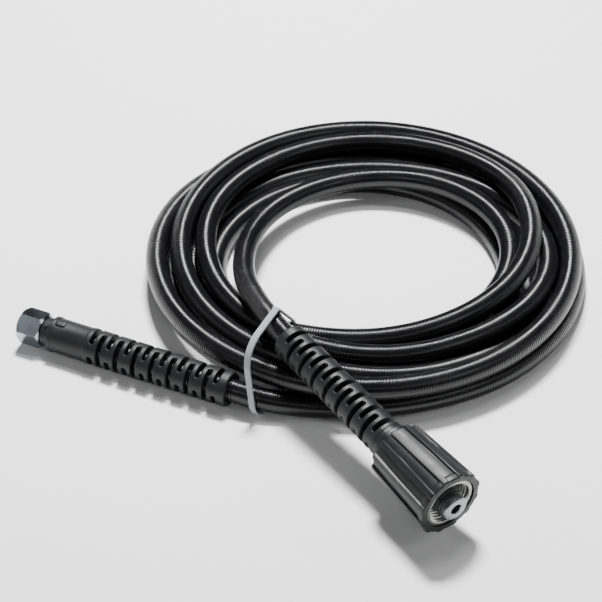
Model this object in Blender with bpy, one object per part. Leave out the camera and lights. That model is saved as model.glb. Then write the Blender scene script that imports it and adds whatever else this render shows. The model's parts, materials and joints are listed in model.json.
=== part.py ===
"""Pressure washer hose, coiled on the floor and tied, with a hex fitting and a hand-tightened coupling.

Every object hangs from one empty at the centre of the coil. The two end assemblies have an empty each,
whose +X axis runs along the assembly's own axis from the hose towards the open end.
"""
import math

import bmesh
import bpy
import numpy as np

MM = 0.001

# The hose and its coil
HOSE_DIAMETER = 12.5 * MM
TURN_GAP = 0.2 * MM
LAYER_GAP = 0.55 * MM
INNER_TURN_RADIUS = 80.5 * MM
TURNS_PER_LAYER = 3
COIL_SEGMENTS = 64
ARC_STEP = 30
POINT_SPACING = 2.0
TOUCH_GAP = 0.3 * MM

# The tie round the coil and both tails
STRAP_WIDTH = 3.5 * MM
STRAP_THICKNESS = 1.3 * MM
STRAP_ANGLE = math.radians(240)
STRAP_SIDES = 72
GROOVE_DEPTH = 2.3 * MM
GROOVE_SIDE_ROOM = 0.5 * MM

# The moulded bend restrictors
RESTRICTOR_LENGTH = 83.5 * MM
RESTRICTOR_BORE_ROOM = 0.45 * MM
RESTRICTOR_WALL = 3.4 * MM
RESTRICTOR_TAPER = 0.4 * MM
SLOT_ROWS = 15
SLOT_WIDTH = 2.8 * MM
END_RING = 5.1 * MM
EDGE = 1.0 * MM
RESTRICTOR_SIDES = 16

# The sleeve and collar behind the hex fitting, moulded with its restrictor
SLEEVE_LENGTH = 24.0 * MM
SLEEVE_INSET = 0.35 * MM
SLEEVE_RIM = 2.0 * MM
COLLAR_LENGTH = 5.0 * MM
COLLAR_WALL = 1.5 * MM
STEP = 0.4 * MM

# The hex fitting
HEX_ACROSS_FLATS = 17.8 * MM
HEX_LENGTH = 14.5 * MM
HEX_CHAMFER = 1.5 * MM
SOCKET_DIAMETER = 12.0 * MM
SOCKET_DEPTH = 15.0 * MM
SOCKET_CHAMFER = 0.8 * MM
FITTING_BORE = 5.7 * MM
STEM_ROOM = 0.4 * MM
STEM_INSERTION = 27.0 * MM
HEX_TURN = math.radians(14)

# The coupling: restrictor neck, nipple, hand wheel and threaded insert
NECK_LENGTH = 12.0 * MM
NECK_INSERTION = 6.0 * MM
NIPPLE_INSERTION = 15.0 * MM
WHEEL_LENGTH = 47.5 * MM
WHEEL_BACK_RADIUS = 15.8 * MM
WHEEL_FRONT_RADIUS = 18.15 * MM
WHEEL_LOBES = 12
LOBE_SIDES = 4
CHANNEL_DEPTH = 1.3 * MM
CHANNEL_START = 3.5 * MM
FRONT_RIM = 4.5 * MM
RUNNING_GAP = 0.6 * MM
INSERT_LENGTH = 20.8 * MM
INSERT_RECESS = 0.7 * MM
INSERT_WALL = 3.75 * MM
THREAD_DIAMETER = 20.5 * MM
THREAD_CHAMFER = 2.0 * MM
LIP_THICKNESS = 3.0 * MM
FLANGE_THICKNESS = 3.0 * MM
FLANGE_ROOM = 1.05 * MM
NOSE_DIAMETER = 13.9 * MM
NOSE_PROUD = 4.2 * MM
NOSE_CHAMFER = 1.0 * MM
NIPPLE_BORE = 5.7 * MM
RING_SECTION = 1.96 * MM
RING_STRETCH = 0.25 * MM
GROOVE_BEHIND_FACE = 4.9 * MM
GROOVE_EXTRA_WIDTH = 0.64 * MM
FITTING_SIDES = 24

# Where the hose rims of the end assemblies lie: the angle round the coil in degrees, and how far out from
# the outermost upper turn; the assemblies run outwards from there
HEX_RIM_TURN = 235.42
HEX_RIM_OUT = 13.5 * MM
HEX_AZIMUTH = math.radians(154.4)
COUPLING_RIM_TURN = 246.06
COUPLING_RIM_OUT = -9.55 * MM
COUPLING_RIM_RISE = 1.5 * MM
COUPLING_AZIMUTH = math.radians(-54.7)
COUPLING_DIP = math.radians(5.0)

# Routes of the two tails from their seats in the coil to the rims: the angle round the coil in degrees,
# then the shares of the way out and of the way up from the seat to the rim
HEX_TAIL_ROUTE = ((241.3, 0.80, 0.69), (246.9, 0.53, 0.325), (253.4, 0.247, 0.065))
COUPLING_TAIL_ROUTE = ((130.8, -0.070, 0.006), (145.7, -0.203, 0.051), (166.5, -0.365, 0.107),
                       (190.2, -0.317, 0.247), (210.75, -0.034, 0.526), (226.3, 0.300, 0.811),
                       (237.0, 0.654, 0.996))
HEX_TAIL_SEAT = (264, 440)
COUPLING_TAIL_SEAT = (94, 112)
SEAT_STEP = 12
SEAT_BOW = 0.65 * MM
SEAT_INSET = 0.5 * MM
STRAIGHT_LEAD = 3.0 * MM
FLOOR_LIFT = 0.1 * MM

# Where neighbours meet round a turn's section, in degrees from outward through up
UP_OUT, UP_IN, DOWN_IN, DOWN_OUT = 45, 135, 225, 315

# Values that follow from the sizes above
HOSE_RADIUS = HOSE_DIAMETER / 2
TURN_PITCH = HOSE_DIAMETER + TURN_GAP
LAYER_RISE = HOSE_DIAMETER + LAYER_GAP
FLOOR_TURN_HEIGHT = HOSE_RADIUS * math.cos(math.radians(ARC_STEP / 2))
TOP_TURN_HEIGHT = FLOOR_TURN_HEIGHT + LAYER_RISE
OUTER_FLOOR_TURN = INNER_TURN_RADIUS + (TURNS_PER_LAYER - 1) * TURN_PITCH
OUTER_TOP_TURN = OUTER_FLOOR_TURN + TURN_PITCH
RESTRICTOR_BORE = HOSE_RADIUS + RESTRICTOR_BORE_ROOM
RESTRICTOR_RADIUS = RESTRICTOR_BORE + RESTRICTOR_WALL
HEX_SEAT = (OUTER_FLOOR_TURN + HOSE_DIAMETER + TOUCH_GAP + SEAT_BOW, HOSE_RADIUS + FLOOR_LIFT)
COUPLING_SEAT = (INNER_TURN_RADIUS - SEAT_INSET, TOP_TURN_HEIGHT)
HEX_RIM = (HEX_RIM_TURN, OUTER_TOP_TURN + HEX_RIM_OUT, RESTRICTOR_RADIUS + FLOOR_LIFT)
COUPLING_RIM = (COUPLING_RIM_TURN, OUTER_TOP_TURN + COUPLING_RIM_OUT,
                TOP_TURN_HEIGHT + HOSE_RADIUS + RESTRICTOR_RADIUS + COUPLING_RIM_RISE)
SLOT_PITCH = (RESTRICTOR_LENGTH - END_RING - SLOT_WIDTH) / (SLOT_ROWS - 1)
STEM_RADIUS = RESTRICTOR_BORE - STEM_ROOM
THREAD_RADIUS = THREAD_DIAMETER / 2
INSERT_RADIUS = THREAD_RADIUS + INSERT_WALL
WHEEL_BACK = RESTRICTOR_LENGTH + NECK_LENGTH - NECK_INSERTION
WHEEL_FRONT = WHEEL_BACK + WHEEL_LENGTH
INSERT_FRONT = WHEEL_FRONT - INSERT_RECESS
INSERT_BACK = INSERT_FRONT - INSERT_LENGTH
NOSE_FACE = WHEEL_FRONT + NOSE_PROUD
NIPPLE_BACK = RESTRICTOR_LENGTH + NECK_LENGTH - NIPPLE_INSERTION
HEX_BACK = RESTRICTOR_LENGTH + SLEEVE_LENGTH + SLEEVE_RIM + COLLAR_LENGTH + TOUCH_GAP
HEX_END = HEX_BACK + HEX_LENGTH
STEM_BACK = HEX_BACK - STEM_INSERTION


def clear_scene():
    for item in list(bpy.data.objects):
        bpy.data.objects.remove(item, do_unlink=True)


def plain_material(name, colour, roughness, metallic=0.0):
    material = bpy.data.materials.new(name)
    material.use_nodes = True
    shader = material.node_tree.nodes["Principled BSDF"]
    shader.inputs["Base Color"].default_value = (*colour, 1.0)
    shader.inputs["Roughness"].default_value = roughness
    shader.inputs["Metallic"].default_value = metallic
    material.diffuse_color = (*colour, 1.0)
    return material


def add_empty(name, location=(0, 0, 0), rotation=(0, 0, 0), parent=None):
    empty = bpy.data.objects.new(name, None)
    empty.location = location
    empty.rotation_euler = rotation
    empty.parent = parent
    bpy.context.collection.objects.link(empty)
    return empty


def add_object(name, data, parent, material):
    item = bpy.data.objects.new(name, data)
    item.parent = parent
    data.materials.append(material)
    bpy.context.collection.objects.link(item)
    return item


def finish_mesh(bm, name, parent, material, sharp_degrees=40):
    bmesh.ops.recalc_face_normals(bm, faces=bm.faces)
    mesh = bpy.data.meshes.new(name)
    bm.to_mesh(mesh)
    bm.free()
    mesh.shade_smooth()
    mesh.set_sharp_from_angle(angle=math.radians(sharp_degrees))
    return add_object(name, mesh, parent, material)


def spin_profile(name, profile, sides, axis, parent, material):
    """Turn a closed profile of points once round an axis through the origin."""
    bm = bmesh.new()
    corners = [bm.verts.new(point) for point in profile]
    edges = [bm.edges.new((corners[i - 1], corners[i])) for i in range(len(corners))]
    bmesh.ops.spin(bm, geom=corners + edges, cent=(0, 0, 0), axis=axis, angle=math.tau,
                   steps=sides, use_merge=True)
    bmesh.ops.remove_doubles(bm, verts=bm.verts, dist=MM / 1000)
    return finish_mesh(bm, name, parent, material)


def turned_part(name, profile, parent, material, sides=FITTING_SIDES):
    """Turn a closed (place, radius) profile round the local X axis."""
    return spin_profile(name, [(x, 0, radius) for x, radius in profile], sides, (1, 0, 0), parent, material)


def shaped_part(name, rings, parent, material):
    """Join a closed row of rings round the local X axis; a ring is its place and its radii in turn."""
    bm = bmesh.new()
    loops = []
    for place, radii in rings:
        turns = [math.tau * i / len(radii) for i in range(len(radii))]
        loops.append([bm.verts.new((place, radius * math.cos(turn), radius * math.sin(turn)))
                      for radius, turn in zip(radii, turns)])
    for loop, following in zip(loops, loops[1:] + loops[:1]):
        for i in range(len(loop)):
            bm.faces.new((loop[i - 1], loop[i], following[i], following[i - 1]))
    return finish_mesh(bm, name, parent, material)


def turn_centres():
    """Centres of the bundled turns as (radius, height): the floor layer, then the upper layer one pitch out."""
    floor = [(INNER_TURN_RADIUS + i * TURN_PITCH, FLOOR_TURN_HEIGHT) for i in range(TURNS_PER_LAYER)]
    upper = [(radius + TURN_PITCH, TOP_TURN_HEIGHT) for radius, _ in floor]
    return floor, upper


def arc_points(centre, start, end):
    """Points of a turn's round section from one angle to another, in degrees."""
    return [(centre[0] + HOSE_RADIUS * math.cos(math.radians(angle)),
             centre[1] + HOSE_RADIUS * math.sin(math.radians(angle)))
            for angle in range(start, end + 1, ARC_STEP)]


def coil_section():
    """Scalloped outline of the bundle, with a hollow seat low outside and one high inside for the tails."""
    floor, upper = turn_centres()
    middle = (FLOOR_TURN_HEIGHT + TOP_TURN_HEIGHT) / 2
    outline = arc_points(floor[0], UP_OUT, DOWN_OUT)
    for centre in floor[1:-1]:
        outline += arc_points(centre, DOWN_IN, DOWN_OUT)
    outline += arc_points(floor[-1], DOWN_IN, UP_OUT + 360)
    outline.append((floor[-1][0] + TURN_PITCH / 2, middle))
    outline += arc_points(upper[-1], DOWN_IN, UP_IN + 360)
    for centre in reversed(upper[1:-1]):
        outline += arc_points(centre, UP_OUT, UP_IN)
    outline += arc_points(upper[0], UP_OUT, DOWN_IN)
    outline.append((upper[0][0] - TURN_PITCH / 2, middle))
    return outline


def make_coil(centre, material):
    """The coiled turns as one turned ring, with a shallow notch underneath where the tie passes."""
    profile = [(radius, 0, height) for radius, height in coil_section()]
    coil = spin_profile("hose_coil", profile, COIL_SEGMENTS, (0, 0, 1), centre, material)
    floor, upper = turn_centres()
    inner = floor[0][0] - HOSE_DIAMETER
    outer = upper[-1][0] + HOSE_DIAMETER
    middle = (inner + outer) / 2
    bm = bmesh.new()
    bmesh.ops.create_cube(bm, size=1.0)
    bmesh.ops.scale(bm, verts=bm.verts,
                    vec=(outer - inner, STRAP_WIDTH + 2 * GROOVE_SIDE_ROOM, 2 * GROOVE_DEPTH))
    cutter = finish_mesh(bm, "tie_notch_cutter", centre, material)
    cutter.location = (middle * math.cos(STRAP_ANGLE), middle * math.sin(STRAP_ANGLE), 0)
    cutter.rotation_euler = (0, 0, STRAP_ANGLE)
    cutter.hide_render = True
    cutter.display_type = "WIRE"
    notch = coil.modifiers.new("tie_notch", "BOOLEAN")
    notch.operation = "DIFFERENCE"
    notch.object = cutter
    return coil


def smooth_curve(points, steps=24):
    """A smooth curve through all points, as a dense array: cubic pieces with slopes from the neighbours."""
    points = np.array(points)
    spans = np.linalg.norm(np.diff(points, axis=0), axis=1)
    knots = np.concatenate(([0.0], np.cumsum(spans)))
    slopes = np.gradient(points, knots, axis=0)
    curve = [points[0]]
    for i, span in enumerate(spans):
        for u in np.linspace(0, 1, steps + 1)[1:]:
            curve.append((2 * u**3 - 3 * u**2 + 1) * points[i] + (u**3 - 2 * u**2 + u) * span * slopes[i]
                         + (3 * u**2 - 2 * u**3) * points[i + 1] + (u**3 - u**2) * span * slopes[i + 1])
    return np.array(curve)


def even_points(curve, spacing):
    """Points read from a dense curve at even distances, both ends included."""
    lengths = np.concatenate(([0.0], np.cumsum(np.linalg.norm(np.diff(curve, axis=0), axis=1))))
    count = max(2, round(lengths[-1] / spacing) + 1)
    wanted = np.linspace(0, lengths[-1], count)
    return np.column_stack([np.interp(wanted, lengths, curve[:, i]) for i in range(3)])


def axis_direction(azimuth, dip=0.0):
    return np.array((math.cos(azimuth) * math.cos(dip), math.sin(azimuth) * math.cos(dip), -math.sin(dip)))


def coil_place(turn, radius, height):
    """A point at an angle round the coil in degrees, a distance from its centre and a height."""
    angle = math.radians(turn)
    return np.array((radius * math.cos(angle), radius * math.sin(angle), height))


def seat_points(seat, angles):
    """Points round the coil on a tail's seat, from one angle to another."""
    start, end = angles
    steps = max(1, round((end - start) / SEAT_STEP))
    return [coil_place(start + (end - start) * i / steps, *seat) for i in range(steps + 1)]


def route_points(route, seat, rim):
    """Points between a tail's seat and its rim, each set by its shares of the way out and up."""
    way_out = rim[1] - seat[0]
    way_up = rim[2] - seat[1]
    return [coil_place(turn, seat[0] + out * way_out, seat[1] + up * way_up) for turn, out, up in route]


def hex_tail_curve():
    """The first turn: out of the restrictor, under the tie and round the low outer seat of the coil."""
    along = axis_direction(HEX_AZIMUTH)
    rim = coil_place(*HEX_RIM)
    points = [rim + EDGE * along, rim - STRAIGHT_LEAD * along]
    points += route_points(HEX_TAIL_ROUTE, HEX_SEAT, HEX_RIM)
    points += seat_points(HEX_SEAT, HEX_TAIL_SEAT)
    return smooth_curve(points)


def coupling_tail_curve():
    """The last turn: out of the high inner seat, along the inside, up over the coil to the restrictor."""
    along = axis_direction(COUPLING_AZIMUTH, COUPLING_DIP)
    rim = coil_place(*COUPLING_RIM)
    points = seat_points(COUPLING_SEAT, COUPLING_TAIL_SEAT)
    points += route_points(COUPLING_TAIL_ROUTE, COUPLING_SEAT, COUPLING_RIM)
    points += [rim - STRAIGHT_LEAD * along, rim + EDGE * along]
    return smooth_curve(points)


def make_tube(name, points, centre, material):
    """A round hose along a row of points."""
    curve = bpy.data.curves.new(name, "CURVE")
    curve.dimensions = "3D"
    curve.bevel_depth = HOSE_RADIUS
    curve.bevel_resolution = 2
    curve.use_fill_caps = True
    spline = curve.splines.new("POLY")
    spline.points.add(len(points) - 1)
    for target, point in zip(spline.points, points):
        target.co = (*point, 1.0)
    return add_object(name, curve, centre, material)


def make_tails(centre, material):
    along = axis_direction(HEX_AZIMUTH)
    stem_face = coil_place(*HEX_RIM) + (STEM_BACK - TOUCH_GAP) * along
    free = even_points(hex_tail_curve(), POINT_SPACING * HOSE_DIAMETER)
    make_tube("hose_tail_hex_end", [stem_face, *free], centre, material)
    along = axis_direction(COUPLING_AZIMUTH, COUPLING_DIP)
    stem_face = coil_place(*COUPLING_RIM) + (NIPPLE_BACK - TOUCH_GAP) * along
    free = even_points(coupling_tail_curve(), POINT_SPACING * HOSE_DIAMETER)
    make_tube("hose_tail_coupling_end", [*free, stem_face], centre, material)


def crossing_circle(curve):
    """Where a tail crosses the tie's upright plane: distance out, height and the radius it takes up there.

    The radius grows with the tail's slant, because the strap has a width.
    """
    normal = np.array((-math.sin(STRAP_ANGLE), math.cos(STRAP_ANGLE), 0))
    outward = np.array((math.cos(STRAP_ANGLE), math.sin(STRAP_ANGLE), 0))
    sides = curve @ normal
    near = curve @ outward > 0
    found = [i for i in range(len(curve) - 1) if near[i] and sides[i] * sides[i + 1] <= 0][0]
    share = sides[found] / (sides[found] - sides[found + 1])
    point = curve[found] + share * (curve[found + 1] - curve[found])
    heading = curve[found + 1] - curve[found]
    slant = math.acos(abs(heading @ normal) / np.linalg.norm(heading))
    return point @ outward, point[2], HOSE_RADIUS / math.cos(slant) + STRAP_WIDTH / 2 * math.tan(slant)


def make_tie(centre, material):
    """A flat strap pulled round the bundle: the outline is the tight wrap of all the hose sections."""
    floor, upper = turn_centres()
    circles = [(radius, height, HOSE_RADIUS) for radius, height in floor + upper]
    circles += [crossing_circle(hex_tail_curve()), crossing_circle(coupling_tail_curve())]
    bm = bmesh.new()
    loops = []
    for i in range(STRAP_SIDES):
        turn = math.tau * i / STRAP_SIDES
        normal = np.array((math.cos(turn), math.sin(turn)))
        reach = [radius * normal[0] + height * normal[1] + size for radius, height, size in circles]
        radius, height, size = circles[reach.index(max(reach))]
        inner = np.array((radius, height)) + (size + TOUCH_GAP) * normal
        outer = inner + STRAP_THICKNESS * normal
        inner[1] = max(inner[1], FLOOR_LIFT + STRAP_THICKNESS)
        outer[1] = max(outer[1], FLOOR_LIFT)
        half = STRAP_WIDTH / 2
        corners = ((inner, -half), (outer, -half), (outer, half), (inner, half))
        loops.append([bm.verts.new((place[0], side, place[1])) for place, side in corners])
    for loop, following in zip(loops, loops[1:] + loops[:1]):
        for i in range(4):
            bm.faces.new((loop[i - 1], loop[i], following[i], following[i - 1]))
    tie = finish_mesh(bm, "tie", centre, material)
    tie.rotation_euler = (0, 0, STRAP_ANGLE)
    return tie


def restrictor_stations():
    """Places along the slotted part, from the hose rim: (place, outer radius, bore, row number or None)."""
    def outer(place):
        return RESTRICTOR_RADIUS - RESTRICTOR_TAPER * (1 - place / RESTRICTOR_LENGTH)

    stations = [(0.0, outer(0.0) - EDGE, RESTRICTOR_BORE + STEP, None), (EDGE, outer(EDGE), RESTRICTOR_BORE, None)]
    for row in range(SLOT_ROWS):
        start = END_RING + row * SLOT_PITCH
        stations.append((start, outer(start), RESTRICTOR_BORE, row))
        end = start + SLOT_WIDTH
        stations.append((end, outer(end), RESTRICTOR_BORE, None))
    return stations


def slot_is_open(row, side):
    """Each row has two slots of six sides and two bridges of two; the next row is turned a quarter."""
    if row is None:
        return False
    quarter = RESTRICTOR_SIDES // 4
    half = RESTRICTOR_SIDES // 2
    return (side + quarter * (row % 2)) % half < half - quarter // 2


def make_restrictor(name, tail_stations, parent, material):
    """A slotted sleeve: walls of a grid of stations and sides, left open where a slot is."""
    stations = restrictor_stations() + tail_stations
    bm = bmesh.new()
    shells = []
    for shell in (1, 2):
        rows = []
        for station in stations:
            turns = [math.tau * i / RESTRICTOR_SIDES for i in range(RESTRICTOR_SIDES)]
            rows.append([(station[0], station[shell] * math.cos(turn), station[shell] * math.sin(turn))
                         for turn in turns])
        shells.append(rows)
    points = [[[None] * RESTRICTOR_SIDES for _ in stations] for _ in shells]

    def vertex(shell, row, side):
        side %= RESTRICTOR_SIDES
        if points[shell][row][side] is None:
            points[shell][row][side] = bm.verts.new(shells[shell][row][side])
        return points[shell][row][side]

    def wall(row_a, side_a, row_b, side_b):
        bm.faces.new((vertex(0, row_a, side_a), vertex(0, row_b, side_b),
                      vertex(1, row_b, side_b), vertex(1, row_a, side_a)))

    def is_open(row, side):
        return slot_is_open(stations[row][3], side % RESTRICTOR_SIDES)

    last = len(stations) - 1
    for row in range(last):
        for side in range(RESTRICTOR_SIDES):
            if is_open(row, side):
                wall(row, side, row, side + 1)
                wall(row + 1, side, row + 1, side + 1)
                continue
            for shell in (0, 1):
                bm.faces.new((vertex(shell, row, side), vertex(shell, row, side + 1),
                              vertex(shell, row + 1, side + 1), vertex(shell, row + 1, side)))
            if is_open(row, side + 1):
                wall(row, side + 1, row + 1, side + 1)
            if is_open(row, side - 1):
                wall(row, side, row + 1, side)
    for side in range(RESTRICTOR_SIDES):
        wall(0, side, 0, side + 1)
        wall(last, side, last, side + 1)
    return finish_mesh(bm, name, parent, material)


def sleeve_stations():
    """The smooth sleeve, its end rim and the narrower collar, past the slotted part."""
    sleeve = RESTRICTOR_RADIUS - SLEEVE_INSET
    rim = RESTRICTOR_LENGTH + SLEEVE_LENGTH
    collar = rim + SLEEVE_RIM
    collar_radius = RESTRICTOR_BORE + COLLAR_WALL
    return [(RESTRICTOR_LENGTH + STEP, sleeve, RESTRICTOR_BORE, None),
            (rim - STEP, sleeve, RESTRICTOR_BORE, None),
            (rim, RESTRICTOR_RADIUS, RESTRICTOR_BORE, None),
            (collar - STEP, RESTRICTOR_RADIUS, RESTRICTOR_BORE, None),
            (collar, collar_radius, RESTRICTOR_BORE, None),
            (collar + COLLAR_LENGTH, collar_radius, RESTRICTOR_BORE, None)]


def neck_stations():
    """The smooth neck that runs into the back of the hand wheel."""
    end = RESTRICTOR_LENGTH + NECK_LENGTH
    return [(end - EDGE, RESTRICTOR_RADIUS, RESTRICTOR_BORE, None),
            (end, RESTRICTOR_RADIUS - EDGE / 2, RESTRICTOR_BORE, None)]


def hex_radii(limit):
    """Radii of a hexagon's outline in turn, cut off at a chamfer's radius."""
    flat = HEX_ACROSS_FLATS / 2
    radii = []
    for i in range(FITTING_SIDES):
        off_flat = (math.tau * i / FITTING_SIDES) % (math.pi / 3) - math.pi / 6
        radii.append(min(flat / math.cos(off_flat), limit))
    return radii


def make_hex_fitting(parent, material):
    """Steel end: a chamfered hexagon with a round socket, and the stem that is swaged in the hose sleeve."""
    corner = HEX_ACROSS_FLATS / math.sqrt(3)
    face = HEX_ACROSS_FLATS / 2 - STEP
    socket = SOCKET_DIAMETER / 2
    socket_floor = HEX_END - SOCKET_DEPTH

    def circle(radius):
        return [radius] * FITTING_SIDES

    rings = [(STEM_BACK, circle(STEM_RADIUS)),
             (HEX_BACK, circle(STEM_RADIUS)),
             (HEX_BACK + STEP, hex_radii(face)),
             (HEX_BACK + HEX_CHAMFER, hex_radii(corner)),
             (HEX_END - HEX_CHAMFER, hex_radii(corner)),
             (HEX_END, hex_radii(face)),
             (HEX_END, circle(socket + SOCKET_CHAMFER)),
             (HEX_END - SOCKET_CHAMFER, circle(socket)),
             (socket_floor, circle(socket)),
             (socket_floor - STEP, circle(FITTING_BORE / 2)),
             (STEM_BACK, circle(FITTING_BORE / 2))]
    fitting = shaped_part("hex_fitting", rings, parent, material)
    fitting.rotation_euler = (HEX_TURN, 0, 0)
    return fitting


def make_nipple(parent, material):
    """Steel nipple: stem, the flange that the insert's lip pulls on, and the nose with its ring groove."""
    lip_front = INSERT_BACK + LIP_THICKNESS + TOUCH_GAP
    flange_front = lip_front + FLANGE_THICKNESS
    flange = THREAD_RADIUS - FLANGE_ROOM
    nose = NOSE_DIAMETER / 2
    groove = NOSE_FACE - GROOVE_BEHIND_FACE
    half_groove = (RING_SECTION + GROOVE_EXTRA_WIDTH) / 2
    groove_floor = ring_centre_radius() - RING_SECTION / 2 - RING_STRETCH
    bore = NIPPLE_BORE / 2
    profile = [(NIPPLE_BACK, STEM_RADIUS), (lip_front, STEM_RADIUS), (lip_front, flange),
               (flange_front, flange), (flange_front, nose), (groove - half_groove, nose),
               (groove - half_groove, groove_floor), (groove + half_groove, groove_floor),
               (groove + half_groove, nose), (NOSE_FACE - NOSE_CHAMFER, nose),
               (NOSE_FACE, nose - NOSE_CHAMFER), (NOSE_FACE, bore), (NIPPLE_BACK, bore)]
    return turned_part("nipple", profile, parent, material)


def ring_centre_radius():
    """The sealing ring stands a little proud of the nose."""
    return NOSE_DIAMETER / 2 + RING_STRETCH - RING_SECTION / 4


def make_sealing_ring(parent, material):
    centre = NOSE_FACE - GROOVE_BEHIND_FACE
    sides = 8
    profile = []
    for i in range(sides):
        turn = math.tau * i / sides
        profile.append((centre + RING_SECTION / 2 * math.cos(turn),
                        ring_centre_radius() + RING_SECTION / 2 * math.sin(turn)))
    return turned_part("o_ring", profile, parent, material)


def make_threaded_insert(parent, material):
    """Metal insert of the hand wheel: threaded bore, wide mouth chamfer and the lip behind the flange."""
    lip_front = INSERT_BACK + LIP_THICKNESS
    lip = STEM_RADIUS + TOUCH_GAP
    profile = [(INSERT_BACK, lip), (INSERT_BACK, INSERT_RADIUS), (INSERT_FRONT, INSERT_RADIUS),
               (INSERT_FRONT, THREAD_RADIUS + THREAD_CHAMFER), (INSERT_FRONT - THREAD_CHAMFER, THREAD_RADIUS),
               (lip_front, THREAD_RADIUS), (lip_front, lip)]
    return turned_part("threaded_insert", profile, parent, material)


def make_hand_wheel(parent, material):
    """Moulded hand wheel: lobes with channels that run out before the front rim, hollow for the insert."""
    def body(place):
        share = (place - WHEEL_BACK) / WHEEL_LENGTH
        return WHEEL_BACK_RADIUS + (WHEEL_FRONT_RADIUS - WHEEL_BACK_RADIUS) * share

    sides = WHEEL_LOBES * LOBE_SIDES

    def plain(radius):
        return [radius] * sides

    def lobed(radius):
        return [radius if i % LOBE_SIDES < LOBE_SIDES // 2 else radius - CHANNEL_DEPTH for i in range(sides)]

    pocket = INSERT_RADIUS + TOUCH_GAP
    pocket_floor = INSERT_BACK - TOUCH_GAP
    bore = RESTRICTOR_RADIUS + RUNNING_GAP
    channel_start = WHEEL_BACK + CHANNEL_START
    channel_end = WHEEL_FRONT - FRONT_RIM
    rings = [(WHEEL_BACK, plain(body(WHEEL_BACK) - EDGE)),
             (WHEEL_BACK + EDGE, plain(body(WHEEL_BACK))),
             (channel_start, plain(body(channel_start))),
             (channel_start + CHANNEL_DEPTH, lobed(body(channel_start))),
             (channel_end - CHANNEL_DEPTH, lobed(body(channel_end))),
             (channel_end, plain(body(channel_end))),
             (WHEEL_FRONT - EDGE, plain(body(WHEEL_FRONT))),
             (WHEEL_FRONT, plain(body(WHEEL_FRONT) - EDGE)),
             (WHEEL_FRONT, plain(pocket)),
             (pocket_floor, plain(pocket)),
             (pocket_floor, plain(bore)),
             (WHEEL_BACK, plain(bore))]
    return shaped_part("handwheel", rings, parent, material)


def stand_on_floor_centre(centre):
    """Move the coil's empty so that the floor point under the middle of the whole model is the origin."""
    bpy.context.view_layer.update()
    depsgraph = bpy.context.evaluated_depsgraph_get()
    corners = []
    for item in bpy.context.scene.objects:
        if item.type == "EMPTY" or item.hide_render:
            continue
        shape = item.evaluated_get(depsgraph)
        mesh = shape.to_mesh()
        corners += [shape.matrix_world @ vertex.co for vertex in mesh.vertices]
        shape.to_mesh_clear()
    corners = np.array(corners)
    lowest = corners.min(axis=0)
    highest = corners.max(axis=0)
    middle = (lowest + highest) / 2
    centre.location = (-middle[0], -middle[1], -lowest[2])


def build():
    clear_scene()
    rubber = plain_material("black_hose_rubber", (0.010, 0.010, 0.012), 0.38)
    moulding = plain_material("black_moulded_plastic", (0.014, 0.014, 0.016), 0.45)
    zinc = plain_material("zinc_plated_steel", (0.52, 0.56, 0.60), 0.32, 1.0)
    steel = plain_material("bright_steel", (0.62, 0.63, 0.64), 0.22, 1.0)
    insert_metal = plain_material("grey_insert_metal", (0.50, 0.51, 0.50), 0.35, 1.0)
    seal_rubber = plain_material("seal_rubber", (0.012, 0.012, 0.012), 0.5)
    tie_plastic = plain_material("grey_tie_plastic", (0.44, 0.44, 0.45), 0.5)

    centre = add_empty("coil_centre")
    make_coil(centre, rubber)
    make_tails(centre, rubber)
    make_tie(centre, tie_plastic)

    hex_axis = add_empty("hex_end_axis", coil_place(*HEX_RIM), (0, 0, HEX_AZIMUTH), centre)
    make_restrictor("bend_restrictor_hex_end", sleeve_stations(), hex_axis, moulding)
    make_hex_fitting(hex_axis, zinc)

    coupling_turn = (0, COUPLING_DIP, COUPLING_AZIMUTH)
    coupling_axis = add_empty("coupling_axis", coil_place(*COUPLING_RIM), coupling_turn, centre)
    make_restrictor("bend_restrictor_coupling_end", neck_stations(), coupling_axis, moulding)
    make_nipple(coupling_axis, steel)
    make_sealing_ring(coupling_axis, seal_rubber)
    make_threaded_insert(coupling_axis, insert_metal)
    make_hand_wheel(coupling_axis, moulding)
    stand_on_floor_centre(centre)


build()
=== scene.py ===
"""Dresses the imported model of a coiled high-pressure hose, its two bend restrictors and its end fittings.

The hose is one tube laid turn by turn and pushed clear of itself. The moulded and turned pieces are numpy
surfaces, and every finish is procedural. Lengths are in metres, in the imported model's frame.
"""
import json
import logging
import math
from collections.abc import Iterable
from dataclasses import dataclass, field
from enum import Enum

import bmesh
import bpy
import numpy as np
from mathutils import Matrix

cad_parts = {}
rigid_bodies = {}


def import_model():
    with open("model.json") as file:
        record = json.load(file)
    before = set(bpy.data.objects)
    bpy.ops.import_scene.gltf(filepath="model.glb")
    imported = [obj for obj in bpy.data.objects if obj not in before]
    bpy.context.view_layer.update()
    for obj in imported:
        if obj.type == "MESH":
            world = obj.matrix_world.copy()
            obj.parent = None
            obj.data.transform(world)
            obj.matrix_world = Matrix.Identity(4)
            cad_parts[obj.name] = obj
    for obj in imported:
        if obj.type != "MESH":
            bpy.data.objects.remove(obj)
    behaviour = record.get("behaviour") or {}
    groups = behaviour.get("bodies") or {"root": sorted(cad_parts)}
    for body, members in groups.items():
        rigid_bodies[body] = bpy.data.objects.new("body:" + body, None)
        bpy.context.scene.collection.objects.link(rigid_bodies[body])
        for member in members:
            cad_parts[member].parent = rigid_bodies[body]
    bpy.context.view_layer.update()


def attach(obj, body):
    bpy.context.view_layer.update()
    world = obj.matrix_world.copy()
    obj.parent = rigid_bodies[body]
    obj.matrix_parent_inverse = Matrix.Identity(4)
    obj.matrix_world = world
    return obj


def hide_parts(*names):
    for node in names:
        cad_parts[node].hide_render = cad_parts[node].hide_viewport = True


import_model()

Array = np.ndarray
MM = 0.001
WELD = 0.002 * MM
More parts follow.
